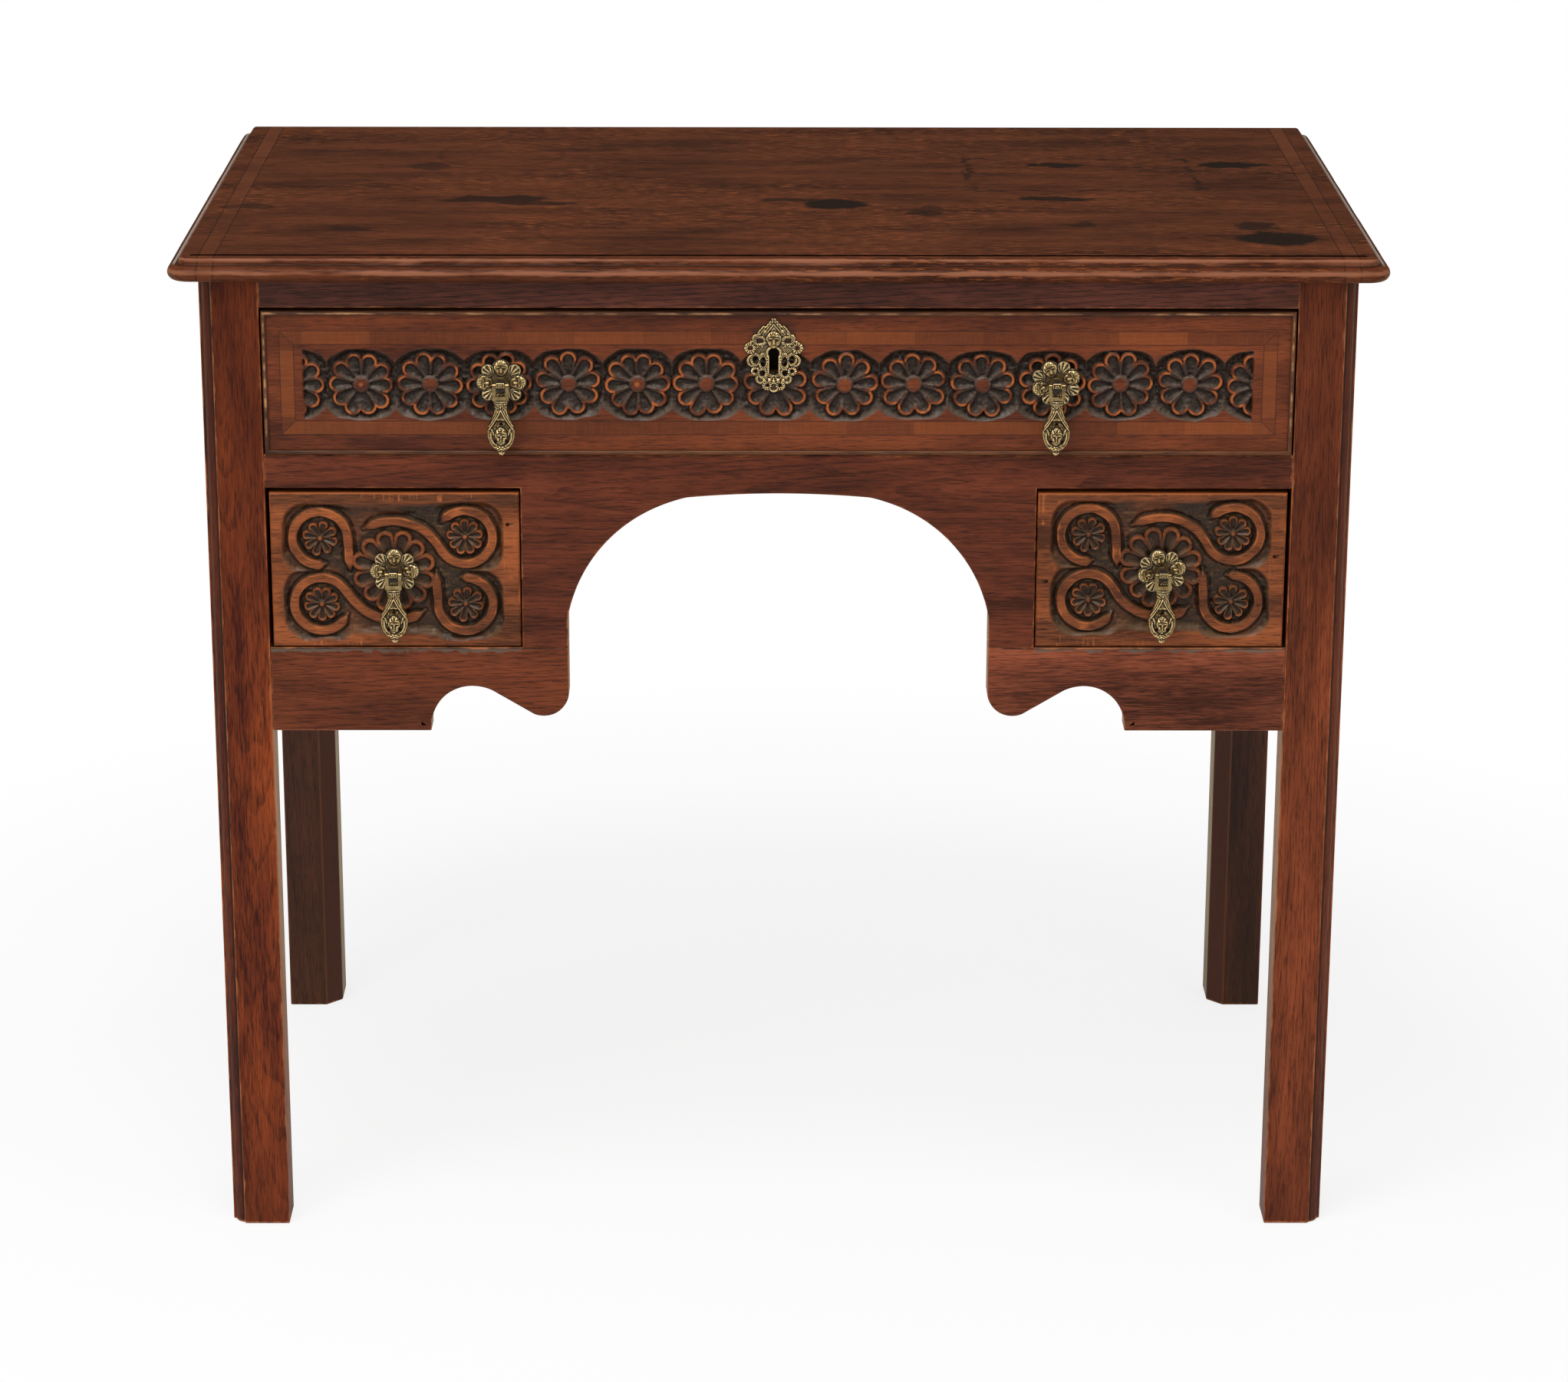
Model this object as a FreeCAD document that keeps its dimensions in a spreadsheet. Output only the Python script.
"""Oak lowboy: one long carved drawer over two small ones and an arched kneehole.

Every size that can be set by itself is a row of SIZES and a cell of the
spreadsheet.  Places are worked out from those cells with Size sums, which
carry the value and the matching spreadsheet expression together.

Axes: +X to the right of somebody who faces the drawers, +Y to the back,
+Z up.  The origin is on the floor, midway between the outermost points.
"""

import FreeCAD, Part
import math
import os

import Sketcher

SIZES = (
    ("case_width", 800, "over the outer faces of the legs"),
    ("case_depth", 472, "front faces of the front legs to backs of the rear legs"),
    ("leg_size", 42, "square section of a leg"),
    ("leg_moulding", 9, "width of the moulding down the front corner of a leg"),
    ("leg_fillet", 2, "step each side of that moulding's quarter round"),
    ("leg_bevel", 12, "bevel on the inner corner of a leg"),
    ("foot_chamfer", 1.5, "eased edge under a leg"),
    ("apron_clearance", 382, "floor to the apron's straight lower edge"),
    ("apron_height", 61.5, "straight part of an apron"),
    ("small_opening_height", 116.5, "opening of a small drawer"),
    ("mid_rail_height", 24, "rail between the long drawer and the small ones"),
    ("main_opening_height", 104.5, "opening of the long drawer"),
    ("top_rail_height", 20.5, "rail above the long drawer"),
    ("front_thickness", 22, "rails, stiles and aprons of the front"),
    ("tenon_length", 18, "tenons of the front rails in the legs"),
    ("tenon_thickness", 8, "tenons of the front rails in the legs"),
    ("tenon_setback", 6, "front face of a rail to its tenon"),
    ("tenon_shoulder", 3.5, "edge of a rail to its tenon"),
    ("kneehole_half", 148, "half of the kneehole at its springing"),
    ("stile_outer", 180, "centre to the small drawer's side of a stile"),
    ("arch_spring", 22.5, "apron top to the springing of the arch"),
    ("arch_side_radius", 108.6, "haunch of the arch"),
    ("arch_crown_half", 64, "half of the flat crown"),
    ("arch_crown_rise", 112.7, "apron top to the top of the crown"),
    ("arch_crown_drop", 3, "fall of the crown from centre to haunch"),
    ("lobe_radius", 17, "rounded end of an apron beside the kneehole"),
    ("lobe_drop", 10.3, "straight lower edge up to the lobe's lowest point"),
    ("ogee_length", 32, "straight part between the lobe and the hollow"),
    ("ogee_angle", 31, "slope of that part in degrees"),
    ("hollow_radius", 29.3, "hollow between the lobe and the straight edge"),
    ("side_thickness", 18, "side boards of the case"),
    ("side_inset", 2, "outer face of a leg to the side board"),
    ("tongue_length", 10, "tongues of the side boards in the legs"),
    ("tongue_thickness", 8, "tongues of the side boards in the legs"),
    ("tongue_shoulder", 12, "edge of a side board to its tongue"),
    ("back_thickness", 12, "back board"),
    ("back_rebate", 10, "overlap of the back board on a rear leg"),
    ("back_drop", 1.5, "back board's lower edge below the small drawers' floor"),
    ("partition_inner", 163.5, "centre to the kneehole side of a partition"),
    ("partition_thickness", 14, "partitions between kneehole and small drawers"),
    ("runner_width", 15, "strips that the drawers slide on"),
    ("runner_height", 12, "strips that the drawers slide on"),
    ("kicker_width", 18, "strips over the long drawer's sides"),
    ("stop_height", 10, "drawer stops at the back of the runners"),
    ("stop_width", 12, "drawer stops at the back of the runners"),
    ("stop_gap", 0.3, "back of a shut drawer to its stop"),
    ("main_stop_length", 19.2, "stops of the long drawer, out from the back board"),
    ("small_stop_length", 32.7, "stops of the small drawers, out from the back board"),
    ("block_length", 40, "glue blocks under the top"),
    ("block_size", 17, "glue blocks under the top"),
    ("block_spacing", 150, "centres of the glue blocks"),
    ("joint_block_height", 46, "glue block behind the joint of stile and apron"),
    ("joint_block_width", 13, "the same block"),
    ("top_thickness", 16, "top board"),
    ("top_side_overhang", 19.8, "moulded edge beyond the outer face of a leg"),
    ("top_front_overhang", 16, "moulded edge beyond the front of the legs"),
    ("top_back_overhang", 2, "plain edge beyond the back of the legs"),
    ("edge_width", 11.2, "width of the moulding round the top"),
    ("edge_bead", 3.5, "small quarter round at its upper edge"),
    ("edge_cove", 1.8, "hollow under that quarter round"),
    ("flat_corner", 5, "corner of the flat inside the moulding"),
    ("main_front_height", 102, "long drawer front"),
    ("main_front_thickness", 22, "long drawer front"),
    ("main_side_gap", 1.25, "long drawer to a leg"),
    ("main_recess", 0.5, "face of the long drawer behind the face of the rails"),
    ("bead_thickness", 3.2, "cockbead round the long drawer"),
    ("bead_proud", 2.5, "cockbead in front of the drawer's face"),
    ("bead_rebate", 8, "cockbead let into the edge of the front"),
    ("small_front_height", 112.5, "small drawer front"),
    ("small_front_thickness", 20, "small drawer front"),
    ("small_inner_gap", 1, "small drawer to a stile"),
    ("small_outer_gap", 2.5, "small drawer to a leg"),
    ("small_recess", 2, "face of a small drawer behind the face of the rails"),
    ("drawer_lift", 0.4, "running clearance under a drawer"),
    ("drawer_side", 10, "sides and backs of the drawers"),
    ("side_drop", 3, "top of a drawer's front to the top of its sides"),
    ("bottom_thickness", 7, "drawer bottoms"),
    ("bottom_lift", 5, "lower edge of a drawer to its bottom"),
    ("groove_depth", 5, "drawer bottoms let into fronts and sides"),
    ("lap_length", 12, "dovetails in a drawer front"),
    ("tail_root", 14, "width of a dovetail at its root"),
    ("tail_flare", 2.2, "widening of a dovetail on each side"),
    ("lock_place", -3.5, "centre of the lock"),
    ("lock_plate_width", 68, "back plate of the lock"),
    ("lock_plate", 1.6, "back plate and upper plate of the lock"),
    ("lock_height", 52, "lock, below its upper plate"),
    ("lock_box_width", 44, "box of the lock"),
    ("lock_box_depth", 12, "box and back plate of the lock"),
    ("bolt_width", 16, "bolt of the lock"),
    ("bolt_thickness", 5, "bolt of the lock"),
    ("bolt_length", 20, "bolt of the lock"),
    ("bolt_setback", 4.5, "back of the lock to the bolt"),
    ("bolt_play", 0.3, "clearance round the bolt in the lock"),
    ("bolt_throw", 8, "travel of the bolt"),
    ("bolt_mortise_play", 0.8, "clearance round the thrown bolt in the rail"),
    ("screw_head", 6, "lock screws"),
    ("screw_shank", 3, "lock screws"),
    ("screw_length", 9, "lock screws"),
    ("screw_inset", 5.5, "edge of the lock's back plate to a screw"),
    ("keyhole_radius", 3.75, "round part of the keyhole"),
    ("keyhole_slot", 6, "slot of the keyhole"),
    ("keyhole_drop", 14.4, "centre of the round part to the slot's end"),
    ("keyhole_below", 29.7, "top of the drawer front to the round part"),
    ("plate_thickness", 1.4, "escutcheon"),
    ("plate_below", 30.3, "top of the drawer front to the escutcheon's centre"),
    ("plate_half_width", 20.5, "escutcheon"),
    ("plate_half_height", 26.5, "escutcheon"),
    ("pin_head", 2.4, "escutcheon pins"),
    ("pin_shank", 1.2, "escutcheon pins"),
    ("pin_rise", 0.6, "head of an escutcheon pin in front of the plate"),
    ("main_pull_place", 191.8, "centre to a pull of the long drawer"),
    ("main_pull_rise", 51.8, "lower edge of the long drawer to its pulls"),
    ("small_pull_place", 269, "centre to a pull of a small drawer"),
    ("small_pull_rise", 55.8, "lower edge of a small drawer to its pull"),
    ("rosette_height", 33, "pull's back plate"),
    ("rosette_width", 35.3, "pull's back plate"),
    ("rosette_disc", 21, "middle of the back plate, across"),
    ("rosette_thickness", 2, "pull's back plate"),
    ("main_right_turn", 22, "lean of the right back plate of the long drawer, in degrees"),
    ("right_turn", 14, "lean of the right small drawer's back plate, in degrees"),
    ("lobe_large", 5.9, "radius of the three large lobes of the plate"),
    ("lobe_small", 4.7, "radius of the five small lobes of the plate"),
    ("lobe_dome", 1.4, "rise of a lobe over the plate"),
    ("post_shank", 5, "post of a pull, through the drawer front"),
    ("post_tail", 7, "post behind the drawer front"),
    ("post_block", 6.1, "square head of the post"),
    ("post_nose", 1, "square head in front of the drop's eyes"),
    ("pivot_reach", 13, "drawer face to the pivot of the drop"),
    ("pivot_pin", 2.2, "pivot pins on the sides of the post"),
    ("pivot_play", 0.3, "clearance of the drop on its pins"),
    ("nut_width", 10, "square nut on the post"),
    ("nut_thickness", 4, "square nut on the post"),
    ("yoke_width", 11.4, "yoke of the drop, over its arms"),
    ("yoke_gap", 6.7, "yoke of the drop, between its arms"),
    ("yoke_depth", 4, "yoke of the drop, front to back"),
    ("yoke_bar", 7, "pivot to the window's lower edge"),
    ("collar_drop", 10, "pivot to the collar"),
    ("collar_radius", 4.9, "collar of the drop"),
    ("collar_height", 2.6, "collar of the drop"),
    ("neck_drop", 15.4, "pivot to the narrowest part of the drop"),
    ("neck_radius", 4.3, "narrowest part of the drop"),
    ("neck_depth", 5.8, "narrowest part of the drop, front to back"),
    ("pear_drop", 32, "pivot to the widest part of the drop"),
    ("pear_radius", 9.7, "widest part of the drop"),
    ("pear_depth", 10, "widest part of the drop, front to back"),
    ("pear_end", 45.2, "pivot to the end of the pear"),
    ("pear_end_radius", 3.3, "end of the pear"),
    ("finial_radius", 2.7, "finial of the drop"),
    ("drop_length", 49.3, "pivot to the tip of the finial"),
    ("leaf_gap_drop", 23, "pivot to the top of the gap between the drop's two leaves"),
    ("leaf_gap_height", 4.4, "that gap"),
    ("leaf_gap_width", 3, "that gap at its foot"),
    ("side_hole_drop", 38, "pivot to the two holes low in the pear"),
    ("side_hole_place", 3.6, "centre of the pear to those holes"),
    ("side_hole_radius", 1.2, "those holes"),
)


class Size:
    """A number together with the spreadsheet expression that gives it."""

    def __init__(self, value, text):
        self.value = value
        self.text = text

    def __add__(self, other):
        other = as_size(other)
        return Size(self.value + other.value, f"({self.text} + {other.text})")

    def __radd__(self, other):
        return as_size(other) + self

    def __sub__(self, other):
        other = as_size(other)
        return Size(self.value - other.value, f"({self.text} - {other.text})")

    def __rsub__(self, other):
        return as_size(other) - self

    def __mul__(self, other):
        other = as_size(other)
        return Size(self.value * other.value, f"({self.text} * {other.text})")

    def __rmul__(self, other):
        return as_size(other) * self

    def __truediv__(self, other):
        other = as_size(other)
        return Size(self.value / other.value, f"({self.text} / {other.text})")

    def __neg__(self):
        return Size(-self.value, f"(-1 * {self.text})")


def as_size(number):
    """A plain number as a Size; a Size stays as it is."""
    if isinstance(number, Size):
        return number
    return Size(number, f"({number})")


def sine(angle):
    return Size(math.sin(math.radians(angle.value)), f"sin({angle.text})")


def cosine(angle):
    return Size(math.cos(math.radians(angle.value)), f"cos({angle.text})")


ZERO = as_size(0)

doc = FreeCAD.newDocument("Lowboy")
sheet = doc.addObject("Spreadsheet::Sheet", "Sheet")


class Sheet:
    """Attribute access to the spreadsheet's cells as Size values."""

    def __init__(self):
        for row, (alias, number, remark) in enumerate(SIZES, start=1):
            sheet.set(f"A{row}", alias)
            sheet.set(f"B{row}", str(number))
            sheet.set(f"C{row}", remark)
            sheet.setAlias(f"B{row}", alias)
            setattr(self, alias, Size(float(number), f"Sheet.{alias}"))


s = Sheet()
doc.recompute()

# ---------------------------------------------------------------- places

half_case = s.case_width / 2
leg_in = half_case - s.leg_size
z_small = s.apron_clearance + s.apron_height
z_rail = z_small + s.small_opening_height
z_main = z_rail + s.mid_rail_height
z_top_rail = z_main + s.main_opening_height
z_top = z_top_rail + s.top_rail_height
back_face = s.case_depth - s.back_thickness
rear_leg_face = s.case_depth - s.leg_size
main_back = back_face - s.main_stop_length - s.stop_gap
small_back = back_face - s.small_stop_length - s.stop_gap

# The long drawer's pulls stand furthest forward, the top board furthest back.
foremost = s.main_recess - s.pivot_reach - s.pear_depth / 2
rearmost = s.case_depth + s.top_back_overhang
FRONT_LINE = -(foremost + rearmost) / 2

nodes = {}

# --------------------------------------------------------------- helpers


def bind(item, prop, amount):
    """Ties one property of an object to the spreadsheet."""
    item.setExpression(prop, as_size(amount).text)


def new(kind, label):
    item = doc.addObject(kind, label)
    item.Label = label
    return item


def block(label, x, y, z):
    """A Part::Box from three (low, high) pairs of Sizes."""
    box = new("Part::Box", label)
    for side, (low, high) in zip(("Length", "Width", "Height"), (x, y, z)):
        bind(box, side, as_size(high) - low)
    bind(box, "Placement.Base.x", x[0])
    bind(box, "Placement.Base.y", FRONT_LINE + y[0])
    bind(box, "Placement.Base.z", z[0])
    return box


def rod(label, x, y, z, radius, axis="y"):
    """A Part::Cylinder along Y or X; the pair of Sizes gives its ends."""
    bar = new("Part::Cylinder", label)
    bind(bar, "Radius", radius)
    along = {"x": x, "y": y}[axis]
    bind(bar, "Height", as_size(along[1]) - along[0])
    if axis == "y":
        turn = FreeCAD.Rotation(FreeCAD.Vector(1, 0, 0), -90)
        place = (x, y[0], z)
    else:
        turn = FreeCAD.Rotation(FreeCAD.Vector(0, 1, 0), 90)
        place = (x[0], y, z)
    bar.Placement = FreeCAD.Placement(FreeCAD.Vector(0, 0, 0), turn)
    bind(bar, "Placement.Base.x", place[0])
    bind(bar, "Placement.Base.y", FRONT_LINE + place[1])
    bind(bar, "Placement.Base.z", place[2])
    return bar


def fuse(label, pieces):
    joined = new("Part::MultiFuse", label)
    joined.Shapes = list(pieces)
    return joined


def cut(label, base, tools):
    """The base less each of the tools in turn."""
    for index, tool in enumerate(tools, start=1):
        result = new("Part::Cut", label if tool is tools[-1] else f"{label}_cut_{index}")
        result.Base = base
        result.Tool = tool
        base = result
    return result


def group(label, pieces):
    """Separate solids that share one node."""
    bundle = new("Part::Compound", label)
    bundle.Links = list(pieces)
    return bundle


def node(item, label=None):
    """Marks an object as a sub-part that is written out."""
    if label:
        item.Label = label
    nodes[item.Label] = item
    return item


def mirrored(side, low, high):
    """The pair low, high on the right, or its mirror image on the left."""
    return (as_size(low), as_size(high)) if side > 0 else (-as_size(high), -as_size(low))


# ------------------------------------------------------ sketches and pads

# Each origin plane: how its normal runs along the axis it is padded along.
PLANE_SIGN = {"XY_Plane": 1, "XZ_Plane": -1, "YZ_Plane": 1}


def arc_between(start, end, radius, leftward):
    """Numeric minor arc from start to end, its centre left or right of the way."""
    chord = end - start
    rise = math.sqrt(max(radius ** 2 - (chord.Length / 2) ** 2, 0.0))
    normal = FreeCAD.Vector(-chord.y, chord.x, 0).normalize()
    centre = (start + end) * 0.5 + normal * (rise if leftward else -rise)
    first, last = (start, end) if leftward else (end, start)
    angles = [math.atan2(p.y - centre.y, p.x - centre.x) for p in (first, last)]
    if angles[1] < angles[0]:
        angles[1] += 2 * math.pi
    circle = Part.Circle(centre, FreeCAD.Vector(0, 0, 1), radius)
    return Part.ArcOfCircle(circle, angles[0], angles[1])


def draw(sketch, corners, closed=True):
    """Draws an outline whose every corner is tied to the spreadsheet.

    A corner is (x, y), or (x, y, radius) where the edge that follows it is an
    arc: the radius is positive with the centre left of the way, else negative.
    """
    points = [FreeCAD.Vector(c[0].value, c[1].value, 0) for c in corners]
    count = len(corners) if closed else len(corners) - 1
    ends = []
    for i in range(count):
        start, end = points[i], points[(i + 1) % len(points)]
        if len(corners[i]) == 3:
            radius = corners[i][2]
            leftward = radius.value > 0
            geo = sketch.addGeometry(arc_between(start, end, abs(radius.value), leftward))
            ends.append((geo, 1, 2) if leftward else (geo, 2, 1))
        else:
            geo = sketch.addGeometry(Part.LineSegment(start, end))
            ends.append((geo, 1, 2))
    for i in range(count if closed else count - 1):
        geo, _, last = ends[i]
        follower, first, _ = ends[(i + 1) % count]
        sketch.addConstraint(Sketcher.Constraint("Coincident", geo, last, follower, first))
    for i, corner in enumerate(corners):
        geo, first, last = ends[min(i, count - 1)]
        point = first if i < count else last
        for kind, amount in (("DistanceX", corner[0]), ("DistanceY", corner[1])):
            rule = Sketcher.Constraint(kind, -1, 1, geo, point, amount.value)
            index = sketch.addConstraint(rule)
            sketch.setExpression(f"Constraints[{index}]", amount.text)
        if len(corner) == 3:
            radius = corner[2] if corner[2].value > 0 else -corner[2]
            index = sketch.addConstraint(Sketcher.Constraint("Radius", geo, radius.value))
            sketch.setExpression(f"Constraints[{index}]", radius.text)


def sketch_on(body, plane, offset):
    """A sketch on one of the body's own planes, shifted along +X, +Y or +Z."""
    sketch = body.newObject("Sketcher::SketchObject", body.Label + "_sketch")
    origin = [f for f in body.Origin.OriginFeatures if f.Role == plane][0]
    sketch.AttachmentSupport = [(origin, "")]
    sketch.MapMode = "FlatFace"
    bind(sketch, "AttachmentOffset.Base.z", offset * PLANE_SIGN[plane])
    return sketch


def new_body(label):
    body = new("PartDesign::Body", label)
    bind(body, "Placement.Base.y", FRONT_LINE)
    return body


def pad(label, plane, corners, start, end, holes=()):
    """A body padded from an outline, from start to end along the plane's axis."""
    body = new_body(label)
    sketch = sketch_on(body, plane, start)
    draw(sketch, corners)
    for hole in holes:
        draw(sketch, hole)
    feature = body.newObject("PartDesign::Pad", label + "_pad")
    feature.Profile = sketch
    bind(feature, "Length", as_size(end) - start)
    feature.Reversed = PLANE_SIGN[plane] < 0
    return body


def rectangle(x, y):
    return [(x[0], y[0]), (x[1], y[0]), (x[1], y[1]), (x[0], y[1])]


def face_name(shape, axis, lowest=True):
    """The name of the flat face that lies lowest, or highest, along an axis."""
    places = [getattr(f.CenterOfMass, axis) for f in shape.Faces]
    wanted = min(places) if lowest else max(places)
    return f"Face{places.index(wanted) + 1}"


# ------------------------------------------------------------- the frame


def tenon_block(label, x, z):
    """A tenon of the front frame, cut from the leg and joined to the rail."""
    y = (s.tenon_setback, s.tenon_setback + s.tenon_thickness)
    return block(label, x, y, z)


def rail_tenons(label, side, low, high):
    x = mirrored(side, leg_in, leg_in + s.tenon_length)
    z = (low + s.tenon_shoulder, high - s.tenon_shoulder)
    return tenon_block(label, x, z)


def build_top_rail(bolt_mortise):
    tenons = [
        rail_tenons(f"top_rail_tenon_{name}", side, z_top_rail, z_top)
        for name, side in SIDES
    ]
    bar = block("top_rail_bar", (-leg_in, leg_in), (ZERO, s.front_thickness),
                (z_top_rail, z_top))
    rail = fuse("top_rail_blank", [bar] + tenons)
    node(cut("top_rail", rail, [bolt_mortise]))
    return tenons


def build_fascia():
    """Rail, stiles and arch in one board."""
    spring = z_small + s.arch_spring
    crown = z_small + s.arch_crown_rise
    haunch = crown - s.arch_crown_drop
    half_chord = s.arch_crown_half
    crown_radius = (half_chord * half_chord / s.arch_crown_drop + s.arch_crown_drop) / 2
    outline = [
        (-leg_in, z_rail),
        (-s.stile_outer, z_rail),
        (-s.stile_outer, z_small),
        (-s.kneehole_half, z_small),
        (-s.kneehole_half, spring, -s.arch_side_radius),
        (-half_chord, haunch, -crown_radius),
        (half_chord, haunch, -s.arch_side_radius),
        (s.kneehole_half, spring),
        (s.kneehole_half, z_small),
        (s.stile_outer, z_small),
        (s.stile_outer, z_rail),
        (leg_in, z_rail),
        (leg_in, z_main),
        (-leg_in, z_main),
    ]
    board = pad("front_fascia_board", "XZ_Plane", outline, ZERO, s.front_thickness)
    tenons = [
        rail_tenons(f"mid_rail_tenon_{name}", side, z_rail, z_main)
        for name, side in SIDES
    ]
    node(fuse("front_fascia", [board] + tenons))
    return tenons


def build_apron(name, side):
    """Shaped apron under a small drawer: lobe, ogee, hollow and straight edge."""
    lobe_x = s.kneehole_half + s.lobe_radius
    lobe_z = s.apron_clearance + s.lobe_drop + s.lobe_radius
    lean, climb = cosine(s.ogee_angle), sine(s.ogee_angle)
    ogee_start = (lobe_x + s.lobe_radius * climb, lobe_z - s.lobe_radius * lean)
    ogee_end = (ogee_start[0] + s.ogee_length * lean,
                ogee_start[1] + s.ogee_length * climb)
    hollow_x = ogee_end[0] + s.hollow_radius * climb
    hollow_z = ogee_end[1] - s.hollow_radius * lean
    notch = hollow_x + s.hollow_radius
    right = [
        (s.kneehole_half, z_small),
        (s.kneehole_half, lobe_z, s.lobe_radius),
        ogee_start,
        (*ogee_end, -s.hollow_radius),
        (notch, hollow_z),
        (notch, s.apron_clearance),
        (leg_in, s.apron_clearance),
        (leg_in, z_small),
    ]
    outline = [(c[0] * side, c[1], *(r * side for r in c[2:])) for c in right]
    board = pad(f"{name}_apron_board", "XZ_Plane", outline, ZERO, s.front_thickness)
    tenon = rail_tenons(f"{name}_apron_tenon", side, s.apron_clearance, z_small)
    node(fuse(f"{name}_apron", [board, tenon]))
    return tenon


def build_side_board(name, side):
    """Side board with a tongue into each of its legs."""
    face = half_case - s.side_inset
    x = mirrored(side, face - s.side_thickness, face)
    board = block(f"{name}_side_plain", x, (s.leg_size, rear_leg_face),
                  (s.apron_clearance, z_top))
    middle = face - s.side_thickness / 2
    tongue_x = mirrored(side, middle - s.tongue_thickness / 2,
                        middle + s.tongue_thickness / 2)
    tongue_z = (s.apron_clearance + s.tongue_shoulder, z_top - s.tongue_shoulder)
    front = block(f"{name}_front_tongue", tongue_x,
                  (s.leg_size - s.tongue_length, s.leg_size), tongue_z)
    rear = block(f"{name}_rear_tongue", tongue_x,
                 (rear_leg_face, rear_leg_face + s.tongue_length), tongue_z)
    node(fuse(f"{name}_side_board", [board, front, rear]))
    return front, rear


def leg_body(label, outline):
    """A leg padded from its section, with the edge under its foot eased."""
    body = pad(label, "XY_Plane", outline, ZERO, z_top)
    doc.recompute()
    shaft = body.Tip
    ease = body.newObject("PartDesign::Chamfer", label + "_foot")
    ease.Base = (shaft, [face_name(shaft.Shape, "z")])
    bind(ease, "Size", s.foot_chamfer)
    return body


def build_front_leg(name, side, sockets):
    """Front leg: a quarter round between two steps runs down its outer corner."""
    step = half_case - s.leg_moulding
    right = [
        (leg_in, ZERO),
        (step, ZERO),
        (step, s.leg_fillet, s.leg_moulding - s.leg_fillet),
        (half_case - s.leg_fillet, s.leg_moulding),
        (half_case, s.leg_moulding),
        (half_case, s.leg_size),
        (leg_in + s.leg_bevel, s.leg_size),
        (leg_in, s.leg_size - s.leg_bevel),
    ]
    outline = [(c[0] * side, c[1], *(r * side for r in c[2:])) for c in right]
    body = leg_body(f"front_{name}_post", outline)
    node(cut(f"front_{name}_leg", body, sockets))


def build_rear_leg(name, side, sockets):
    """Rear leg, with a bevel on its inner front corner."""
    right = [
        (leg_in + s.leg_bevel, rear_leg_face),
        (half_case, rear_leg_face),
        (half_case, s.case_depth),
        (leg_in, s.case_depth),
        (leg_in, rear_leg_face + s.leg_bevel),
    ]
    outline = [(c[0] * side, c[1]) for c in right]
    body = leg_body(f"rear_{name}_post", outline)
    node(cut(f"rear_{name}_leg", body, sockets))


def build_back():
    reach = leg_in + s.back_rebate
    return node(block("back_board", (-reach, reach), (back_face, s.case_depth),
                      (z_small - s.back_drop, z_top)))


def strip(label, side, inner, outer, low, high):
    """A strip that runs from the back of the front frame to the back board."""
    return node(block(label, mirrored(side, inner, outer),
                      (s.front_thickness, back_face), (low, high)))


def build_inner_frame(name, side):
    """Partition, runners and kicker on one side of the case."""
    wall = s.partition_inner + s.partition_thickness
    strip(f"{name}_partition", side, s.partition_inner, wall,
          z_small - s.back_drop, z_main)
    strip(f"{name}_main_runner", side, leg_in - s.kicker_width, leg_in,
          z_main - s.runner_height, z_main)
    strip(f"{name}_kicker", side, leg_in - s.kicker_width, leg_in, z_top_rail, z_top)
    strip(f"{name}_outer_runner", side, leg_in - s.runner_width, leg_in,
          z_small - s.runner_height, z_small)
    strip(f"{name}_inner_runner", side, wall, wall + s.runner_width,
          z_small - s.runner_height, z_small)


def build_stops():
    """Stops behind the drawers, standing on the runners."""
    blocks = []
    for name, side in SIDES:
        for kind, depth, floor in (("main", main_back, z_main),
                                   ("small", small_back, z_small)):
            x = mirrored(side, leg_in - s.stop_width, leg_in)
            y = (depth + s.stop_gap, back_face)
            z = (floor, floor + s.stop_height)
            blocks.append(block(f"{name}_{kind}_stop", x, y, z))
    node(group("drawer_stops", blocks))


# Glue blocks under each long edge of the top.
TOP_BLOCKS = 4


def build_glue_blocks():
    """Blocks under the top, and behind the joints of stiles and aprons."""
    blocks = []
    z = (z_top - s.block_size, z_top)
    for index in range(TOP_BLOCKS):
        middle = s.block_spacing * (index - (TOP_BLOCKS - 1) / 2)
        x = (middle - s.block_length / 2, middle + s.block_length / 2)
        front = (s.front_thickness, s.front_thickness + s.block_size)
        rear = (back_face - s.block_size, back_face)
        blocks.append(block("top_block_front", x, front, z))
        blocks.append(block("top_block_rear", x, rear, z))
    for _, side in SIDES:
        x = mirrored(side, s.partition_inner - s.joint_block_width, s.partition_inner)
        y = (s.front_thickness, s.front_thickness + s.block_size)
        z = (z_small - s.joint_block_height / 2, z_small + s.joint_block_height / 2)
        blocks.append(block("joint_block", x, y, z))
    node(group("glue_blocks", blocks))


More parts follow.
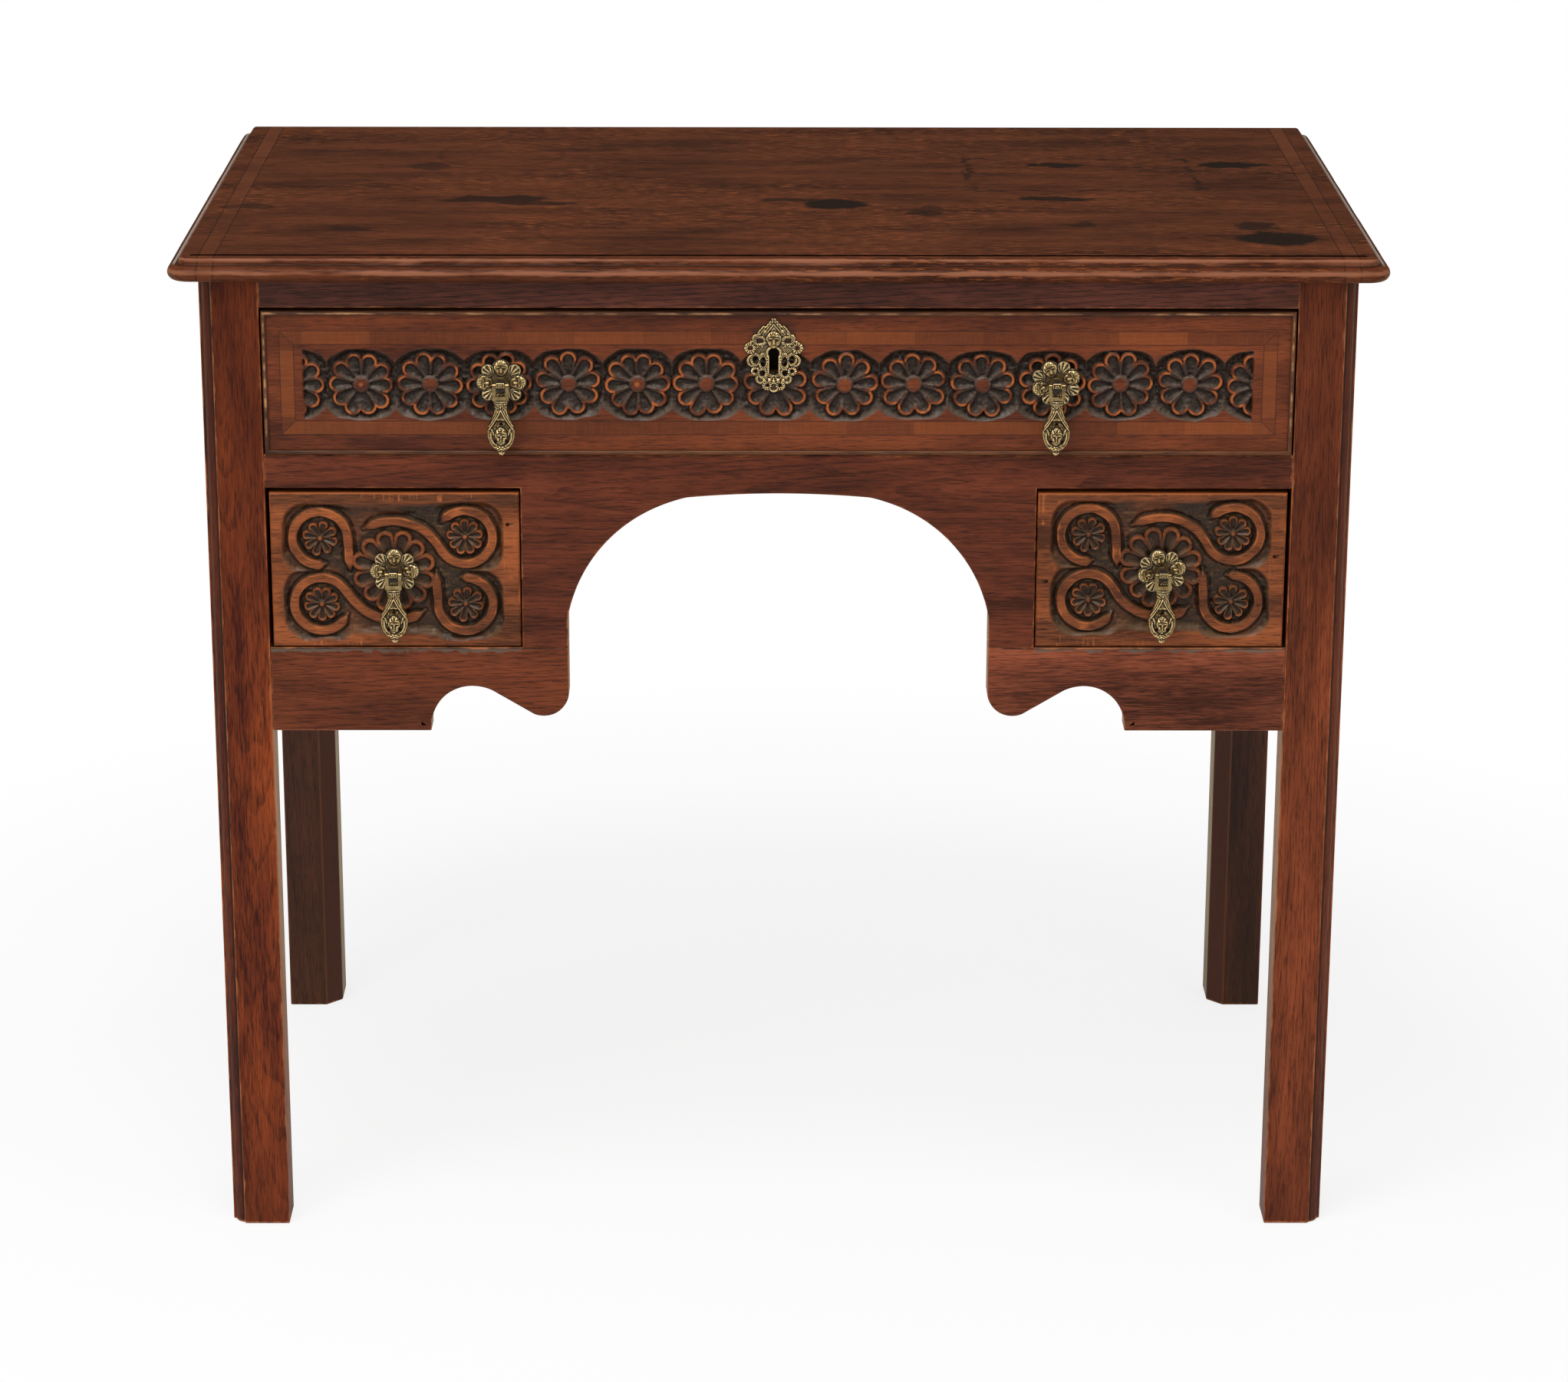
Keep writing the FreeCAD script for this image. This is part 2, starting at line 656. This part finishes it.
def build_top():
    """Top board: a flat slab, and a moulding swept along its front and sides."""
    half_flat = half_case + s.top_side_overhang - s.edge_width
    flat_front = s.edge_width - s.top_front_overhang
    corner = s.flat_corner
    path = [
        (-half_flat, rearmost),
        (-half_flat, flat_front + corner, corner),
        (-half_flat + corner, flat_front),
        (half_flat - corner, flat_front, corner),
        (half_flat, flat_front + corner),
        (half_flat, rearmost),
    ]
    body = new_body("top_board")
    slab_sketch = sketch_on(body, "XY_Plane", z_top)
    draw(slab_sketch, path)
    slab = body.newObject("PartDesign::Pad", "top_slab")
    slab.Profile = slab_sketch
    bind(slab, "Length", s.top_thickness)

    spine = sketch_on(body, "XY_Plane", z_top)
    draw(spine, path, closed=False)
    surface = z_top + s.top_thickness
    roll = (s.top_thickness - s.edge_bead - s.edge_cove) / 2
    bead_low = surface - s.edge_bead
    cove_low = bead_low - s.edge_cove
    section = [
        (-half_flat, z_top),
        (-half_flat, surface, s.edge_bead),
        (-half_flat - s.edge_bead, bead_low, -s.edge_cove),
        (-half_flat - s.edge_bead - s.edge_cove, cove_low),
        (-half_flat - s.edge_width + roll, cove_low, roll),
        (-half_flat - s.edge_width, cove_low - roll, roll),
        (-half_flat - s.edge_width + roll, z_top),
    ]
    profile = sketch_on(body, "XZ_Plane", rearmost)
    draw(profile, section)
    doc.recompute()
    edge = body.newObject("PartDesign::AdditivePipe", "top_moulding")
    edge.Profile = profile
    edge.Spine = (spine, [f"Edge{i + 1}" for i in range(5)])
    edge.Transition = "Round corner"
    body.Tip = edge
    node(body)


# --------------------------------------------------------------- drawers

# Dovetails at each corner of a long and of a small drawer.
MAIN_TAILS = 3
SMALL_TAILS = 4


def dovetails(low, high, shoulder, tip, count):
    """Corners of a row of tails on a board's end, from low to high."""
    pitch = (high - low) / count
    corners = []
    for index in range(count):
        middle = low + pitch * (index + 0.5)
        root = s.tail_root / 2
        wide = root + s.tail_flare
        corners += [(shoulder, middle - root), (tip, middle - wide),
                    (tip, middle + wide), (shoulder, middle + root)]
    return corners


class Drawer:
    """The wooden box of a drawer, dovetailed and grooved."""

    def __init__(self, name, x, low, high, face, thickness, rear, tails):
        self.name = name
        self.x = x
        self.low = low
        self.high = high
        self.face = face
        self.rear = rear
        self.inner = face + thickness
        self.tails = tails
        self.side_top = high - s.side_drop
        self.floor = low + s.bottom_lift
        self.bottom = self.build_bottom()
        self.left = self.build_side("left_side", x[0], x[0] + s.drawer_side)
        self.right = self.build_side("right_side", x[1] - s.drawer_side, x[1])
        self.build_back()

    def build_bottom(self):
        inset = s.drawer_side - s.groove_depth
        x = (self.x[0] + inset, self.x[1] - inset)
        y = (self.inner - s.groove_depth, self.rear)
        z = (self.floor, self.floor + s.bottom_thickness)
        return node(block(f"{self.name}_bottom", x, y, z))

    def build_side(self, name, start, end):
        """A side, with tails into the front and through the back."""
        above = self.floor + s.bottom_thickness
        shoulder = self.rear - s.drawer_side
        front_tails = dovetails(self.low, self.side_top, self.inner,
                                self.inner - s.lap_length, self.tails)
        rear_tails = dovetails(above, self.side_top, shoulder, self.rear, self.tails)
        outline = [(self.inner, self.low), (self.rear, self.low), (self.rear, above),
                   (shoulder, above), *rear_tails, (shoulder, self.side_top),
                   (self.inner, self.side_top), *reversed(front_tails)]
        board = pad(f"{self.name}_{name}_plain", "YZ_Plane", outline, start, end)
        node(cut(f"{self.name}_{name}", board, [self.bottom]))
        return board

    def build_back(self):
        z = (self.floor + s.bottom_thickness, self.side_top)
        y = (self.rear - s.drawer_side, self.rear)
        board = block(f"{self.name}_back_plain", self.x, y, z)
        node(cut(f"{self.name}_back", board, [self.left, self.right]))

    def build_front(self, fittings):
        """The front, with sockets for the tails, the bottom and its fittings."""
        plain = block(f"{self.name}_front_plain", self.x, (self.face, self.inner),
                      (self.low, self.high))
        tools = [self.left, self.right, self.bottom] + fittings
        node(cut(f"{self.name}_front", plain, tools))


# Nose radius of the cockbead as a share of its thickness: nearly half round.
BEAD_ROUNDNESS = 0.45


def build_cockbead(drawer):
    """A round-nosed bead let into all four edges of the long drawer's front."""
    outer = rectangle(drawer.x, (drawer.low, drawer.high))
    inner = rectangle((drawer.x[0] + s.bead_thickness, drawer.x[1] - s.bead_thickness),
                      (drawer.low + s.bead_thickness, drawer.high - s.bead_thickness))
    body = pad("main_drawer_cockbead", "XZ_Plane", outer, drawer.face - s.bead_proud,
               drawer.face + s.bead_rebate, holes=[inner])
    doc.recompute()
    frame = body.Tip
    nose = body.newObject("PartDesign::Fillet", "cockbead_nose")
    nose.Base = (frame, [face_name(frame.Shape, "y")])
    bind(nose, "Radius", s.bead_thickness * BEAD_ROUNDNESS)
    return node(body)


# ------------------------------------------------------ lock and key plate


def build_lock(drawer):
    """Half-mortise lock, its bolt and screws.  Returns what they cut away."""
    rear = drawer.inner
    top = drawer.high
    plate_x = (s.lock_place - s.lock_plate_width / 2, s.lock_place + s.lock_plate_width / 2)
    box_x = (s.lock_place - s.lock_box_width / 2, s.lock_place + s.lock_box_width / 2)
    front = rear - s.lock_box_depth
    plate = block("lock_back_plate", plate_x, (rear - s.lock_plate, rear),
                  (top - s.lock_height, top))
    cap = block("lock_upper_plate", plate_x, (front, rear), (top - s.lock_plate, top))
    box = block("lock_box", box_x, (front, rear), (top - s.lock_height, top))
    body = fuse("lock_body", [plate, cap, box])

    bolt_y = rear - s.bolt_setback - s.bolt_thickness
    bolt_x = (s.lock_place - s.bolt_width / 2, s.lock_place + s.bolt_width / 2)
    bolt_low = top - s.bolt_play - s.bolt_length
    node(block("lock_bolt", bolt_x, (bolt_y, bolt_y + s.bolt_thickness),
               (bolt_low, top - s.bolt_play)))
    play = s.bolt_play
    channel = block("bolt_channel", (bolt_x[0] - play, bolt_x[1] + play),
                    (bolt_y - play, bolt_y + s.bolt_thickness + play),
                    (bolt_low - play, top))
    loose = s.bolt_mortise_play
    mortise = block("bolt_mortise", (bolt_x[0] - loose, bolt_x[1] + loose),
                    (bolt_y - loose, bolt_y + s.bolt_thickness + loose),
                    (z_top_rail, z_top_rail + s.bolt_throw))

    screws = []
    for side in (-1, 1):
        x = s.lock_place + (s.lock_plate_width / 2 - s.screw_inset) * side
        for z in (top - s.lock_plate - s.screw_inset, top - s.lock_height + s.screw_inset):
            head = rod("screw_head", x, (rear - s.lock_plate, rear), z, s.screw_head / 2)
            shank = rod("screw_shank", x, (rear - s.screw_length, rear), z,
                        s.screw_shank / 2)
            screws.append(fuse("lock_screw", [head, shank]))
    screw_group = node(group("lock_screws", screws))

    keyhole = build_keyhole(drawer, front)
    node(cut("lock_case", body, [channel, keyhole, screw_group]))
    return mortise, keyhole, [body, screw_group, keyhole]


def build_keyhole(drawer, lock_front):
    """The keyhole's outline as a solid, from the key plate into the lock."""
    z = drawer.high - s.keyhole_below
    y = (drawer.face - s.plate_thickness * 2, lock_front + s.lock_box_depth / 2)
    head = rod("keyhole_head", s.lock_place, y, z, s.keyhole_radius)
    slot = block("keyhole_slot_cut",
                 (s.lock_place - s.keyhole_slot / 2, s.lock_place + s.keyhole_slot / 2),
                 y, (z - s.keyhole_drop, z))
    return fuse("keyhole", [head, slot])


# The key plate, as shares of its half width (across, radius) and half height (up):
# the discs that its outline is made of, its piercings, its pins and its pointed top.
PLATE_LOBES = ((0, -0.1, 0.56), (0, -0.48, 0.52), (0, 0.37, 0.39), (0.46, 0.42, 0.19),
               (0.6, 0.43, 0.12), (0.52, 0.14, 0.24), (0.79, 0.166, 0.205),
               (0.71, -0.19, 0.215), (0.62, -0.45, 0.156), (0.44, -0.68, 0.16),
               (0.21, -0.83, 0.17), (0, -0.89, 0.14))
PLATE_HOLES = ((0.46, 0.355, 0.1), (0.79, 0.166, 0.07), (0.61, -0.155, 0.1),
               (0.35, -0.21, 0.09), (0.62, -0.45, 0.055), (0.38, -0.51, 0.085),
               (0.19, -0.825, 0.06))
PLATE_PINS = ((0.29, 0.62), (0.32, -0.69))
PLATE_POINT = ((0.5, 0.5), (0.07, 1), (-0.07, 1), (-0.5, 0.5))


def build_escutcheon(drawer, keyhole):
    """Lobed, pointed and pierced key plate with four pins."""
    middle = drawer.high - s.plate_below
    y = (drawer.face - s.plate_thickness, drawer.face)

    def place(across, up):
        return s.lock_place + s.plate_half_width * across, middle + s.plate_half_height * up

    def discs(label, table):
        made = []
        for across, up, radius in table:
            for side in ((1, -1) if across else (1,)):
                x, z = place(across * side, up)
                made.append(rod(label, x, y, z, s.plate_half_width * radius))
        return made

    pins = []
    for across, up in PLATE_PINS:
        for side in (1, -1):
            x, z = place(across * side, up)
            head = rod("pin_head", x, (y[0] - s.pin_rise, y[0]), z, s.pin_head / 2)
            shank = rod("pin_shank", x, (y[0], y[1] + s.bead_rebate), z, s.pin_shank / 2)
            pins.append(fuse("escutcheon_pin", [head, shank]))
    pin_group = node(group("escutcheon_pins", pins))
    point = pad("plate_point", "XZ_Plane", [place(*corner) for corner in PLATE_POINT], *y)
    plate = fuse("escutcheon_plate", discs("plate_lobe", PLATE_LOBES) + [point])
    tools = discs("plate_hole", PLATE_HOLES) + [keyhole, pin_group]
    node(cut("escutcheon", plate, tools))
    return pin_group


# ----------------------------------------------------------------- pulls


# The back plate's lobes stand this far apart, in degrees; the first one is the top one.
LOBE_ANGLE = 45
LARGE_LOBES = (0, 2, 6)


def build_rosette(label, x, z, face, turn, shank):
    """Back plate: a disc with three large and five small domed lobes."""
    y = (face - s.rosette_thickness, face)
    pieces = [rod(label + "_disc", x, y, z, s.rosette_disc / 2)]
    for index in range(360 // LOBE_ANGLE):
        angle = turn + LOBE_ANGLE * index
        radius = s.lobe_large if index in LARGE_LOBES else s.lobe_small
        lobe_x = x - (s.rosette_width / 2 - radius) * sine(angle)
        lobe_z = z + (s.rosette_height / 2 - radius) * cosine(angle)
        pieces.append(build_lobe(f"{label}_lobe", lobe_x, lobe_z, face, radius))
    node(cut(label, fuse(label + "_plate", pieces), [shank]))


def build_lobe(label, x, z, face, radius):
    """A low cone on a round base, both along Y."""
    base = rod(label, x, (face - s.rosette_thickness, face), z, radius)
    dome = new("Part::Cone", label + "_dome")
    bind(dome, "Radius1", radius)
    bind(dome, "Radius2", radius / 2)
    bind(dome, "Height", s.lobe_dome)
    turn = FreeCAD.Rotation(FreeCAD.Vector(1, 0, 0), 90)
    dome.Placement = FreeCAD.Placement(FreeCAD.Vector(0, 0, 0), turn)
    bind(dome, "Placement.Base.x", x)
    bind(dome, "Placement.Base.y", FRONT_LINE + face - s.rosette_thickness)
    bind(dome, "Placement.Base.z", z)
    return fuse(label + "_whole", [base, dome])


def build_post(label, x, z, face, inner):
    """Post: square head with two pivot pins, and a shank through the front."""
    half = s.post_block / 2
    pivot = face - s.pivot_reach
    head = block(label + "_head", (x - half, x + half),
                 (pivot - half - s.post_nose, face - s.rosette_thickness),
                 (z - half, z + half))
    pins = rod(label + "_pins", (x - s.yoke_width / 2, x + s.yoke_width / 2),
               pivot, z, s.pivot_pin / 2, axis="x")
    shank = rod(label + "_shank", x, (face - s.rosette_thickness, inner + s.post_tail),
                z, s.post_shank / 2)
    node(fuse(label, [head, pins, shank]))
    return shank


def build_nut(label, x, z, inner, shank):
    half = s.nut_width / 2
    nut = block(label + "_blank", (x - half, x + half),
                (inner, inner + s.nut_thickness), (z - half, z + half))
    return cut(label, nut, [shank])


def swell_radius(across, along):
    """Radius of the two equal arcs that step sideways by across over a length along."""
    return (along * along / across + across) / 4


def half_outline(collar, neck, pear, end, tip):
    """Right half of the drop's outline under its yoke, the pivot at (0, 0).

    The five sizes are half widths: collar, narrowest, widest, end of the pear and
    finial.  Two equal arcs swell from neck to pear, and one arc rounds its end.
    """
    bend = swell_radius(pear - neck, s.pear_drop - s.neck_drop)
    middle = ((neck + pear) / 2, -(s.neck_drop + s.pear_drop) / 2)
    cheek = pear - end
    fall = s.pear_end - s.pear_drop
    cheek_radius = (fall * fall / cheek + cheek) / 2
    return [
        (collar, -s.collar_drop),
        (collar, -(s.collar_drop + s.collar_height)),
        (neck, -s.neck_drop, bend),
        (*middle, -bend),
        (pear, -s.pear_drop, -cheek_radius),
        (end, -s.pear_end),
        (tip, -s.pear_end),
    ]


def local_body(label, x, y, z):
    """A body whose own origin lies at a point of the lowboy."""
    body = new("PartDesign::Body", label)
    bind(body, "Placement.Base.x", x)
    bind(body, "Placement.Base.y", FRONT_LINE + y)
    bind(body, "Placement.Base.z", z)
    return body


def build_pear(label, x, pivot, z):
    """The turned pear, brought to its cast depth and pierced in three places."""
    turned = local_body(label + "_turned", x, pivot, z)
    outline = sketch_on(turned, "XZ_Plane", ZERO)
    right = half_outline(s.collar_radius, s.neck_radius, s.pear_radius,
                         s.pear_end_radius, s.finial_radius)
    draw(outline, [(ZERO, -s.collar_drop), *right, (ZERO, -s.drop_length)])
    turning = turned.newObject("PartDesign::Revolution", label + "_turning")
    turning.Profile = outline
    turning.ReferenceAxis = (outline, ["V_Axis"])

    slab = local_body(label + "_slab", x, pivot, z)
    side_view = sketch_on(slab, "YZ_Plane", -s.pear_radius)
    rear = half_outline(s.neck_depth / 2, s.neck_depth / 2, s.pear_depth / 2,
                        s.pear_end_radius, s.finial_radius)
    tip = (s.finial_radius, -s.drop_length)
    front = mirror_path([*rear, tip])
    draw(side_view, [*rear, tip, *front])
    width = slab.newObject("PartDesign::Pad", label + "_slab_pad")
    width.Profile = side_view
    bind(width, "Length", s.pear_radius * 2)

    cast = new("Part::Common", label + "_cast")
    cast.Base = turned
    cast.Tool = slab
    return cut(label + "_pierced", cast, build_piercings(label, x, pivot, z))


def mirror_path(right):
    """The path back up the left side, its arcs turned round."""
    left = []
    for index in range(len(right) - 1, -1, -1):
        across, up = right[index][:2]
        bend = right[index - 1][2:] if index else ()
        left.append((-across, up, *bend))
    return left


def build_piercings(label, x, pivot, z):
    """The gap between the drop's leaves, and two round holes below."""
    y = (pivot - s.pear_radius, pivot + s.pear_radius)
    half = s.leaf_gap_width / 2
    gap_low = z - s.leaf_gap_drop - s.leaf_gap_height
    gap = pad(label + "_gap", "XZ_Plane",
              [(x, z - s.leaf_gap_drop), (x - half, gap_low), (x + half, gap_low)], *y)
    holes = [rod(label + "_hole", x + s.side_hole_place * side, y, z - s.side_hole_drop,
                 s.side_hole_radius) for side in (-1, 1)]
    return [gap, *holes]


def build_drop(label, x, z, face):
    """The pendant: yoke with two eyes, collar, pear and finial."""
    pivot = face - s.pivot_reach
    half = s.yoke_depth / 2
    arms = block(label + "_yoke_blank", (x - s.yoke_width / 2, x + s.yoke_width / 2),
                 (pivot - half, pivot + half), (z - s.collar_drop, z))
    eyes = rod(label + "_eyes", (x - s.yoke_width / 2, x + s.yoke_width / 2), pivot, z,
               half, axis="x")
    window = block(label + "_window", (x - s.yoke_gap / 2, x + s.yoke_gap / 2),
                   (pivot - half, pivot + half), (z - s.yoke_bar, z + half))
    bore = rod(label + "_bore", (x - s.yoke_width / 2, x + s.yoke_width / 2), pivot, z,
               s.pivot_pin / 2 + s.pivot_play, axis="x")
    yoke = cut(label + "_yoke", fuse(label + "_arms", [arms, eyes]), [window, bore])
    node(fuse(label, [yoke, build_pear(label, x, pivot, z)]))


def build_pull(names, x, z, drawer, turn=ZERO):
    """One drop pull on a drawer.  Returns its shank and its nut."""
    rosette, post, nut, drop = names
    shank = build_post(post, x, z, drawer.face, drawer.inner)
    build_rosette(rosette, x, z, drawer.face, turn, shank)
    build_drop(drop, x, z, drawer.face)
    return shank, build_nut(nut, x, z, drawer.inner, shank)


# ---------------------------------------------------------- the whole thing

SIDES = (("left", -1), ("right", 1))
# How far each back plate leans to the left of upright.
TURNS = {"main_left": ZERO, "main_right": s.main_right_turn,
         "left": ZERO, "right": s.right_turn}


def build_main_drawer():
    """Long drawer with its bead, lock, key plate and two pulls."""
    reach = leg_in - s.main_side_gap
    low = z_main + s.drawer_lift
    drawer = Drawer("main_drawer", (-reach, reach), low, low + s.main_front_height,
                    s.main_recess, s.main_front_thickness, main_back, MAIN_TAILS)
    bead = build_cockbead(drawer)
    mortise, keyhole, lock_cuts = build_lock(drawer)
    pins = build_escutcheon(drawer, keyhole)
    shanks, nuts = [], []
    for name, side in SIDES:
        names = (f"main_{name}_rosette", f"main_{name}_post",
                 f"main_{name}_nut", f"main_{name}_drop")
        shank, nut = build_pull(names, s.main_pull_place * side,
                                low + s.main_pull_rise, drawer, TURNS[f"main_{name}"])
        shanks.append(shank)
        nuts.append(nut)
    node(group("main_pull_nuts", nuts))
    drawer.build_front([bead, pins] + lock_cuts + shanks)
    return mortise


def build_small_drawer(name, side):
    low = z_small + s.drawer_lift
    x = mirrored(side, s.stile_outer + s.small_inner_gap, leg_in - s.small_outer_gap)
    drawer = Drawer(f"{name}_drawer", x, low, low + s.small_front_height,
                    s.small_recess, s.small_front_thickness, small_back, SMALL_TAILS)
    names = (f"{name}_rosette", f"{name}_post", f"{name}_nut", f"{name}_drop")
    shank, nut = build_pull(names, s.small_pull_place * side,
                            low + s.small_pull_rise, drawer, TURNS[name])
    node(nut)
    drawer.build_front([shank])


def build_case(bolt_mortise):
    """Everything that stands still."""
    top_tenons = build_top_rail(bolt_mortise)
    mid_tenons = build_fascia()
    back = build_back()
    for index, (name, side) in enumerate(SIDES):
        apron_tenon = build_apron(name, side)
        front_tongue, rear_tongue = build_side_board(name, side)
        build_front_leg(name, side, [top_tenons[index], mid_tenons[index],
                                     apron_tenon, front_tongue])
        build_rear_leg(name, side, [rear_tongue, back])
        build_inner_frame(name, side)
    build_stops()
    build_glue_blocks()
    build_top()


def check():
    """Stops the script where an object failed or a node's shape is bad."""
    for item in doc.Objects:
        if {"Invalid", "Error"} & set(item.State):
            raise RuntimeError(f"{item.Label}: {item.State}")
    for label, item in nodes.items():
        shape = item.Shape
        if shape.isNull() or not shape.isValid() or not shape.Solids:
            raise RuntimeError(f"{label}: bad shape")


def main():
    build_case(build_main_drawer())
    for name, side in SIDES:
        build_small_drawer(name, side)
    doc.recompute()
    check()
    os.makedirs("parts", exist_ok=True)
    for label, item in nodes.items():
        item.Shape.exportStep(os.path.join("parts", label + ".step"))
    print(len(nodes), "nodes,", sum(len(n.Shape.Solids) for n in nodes.values()), "solids")


main()
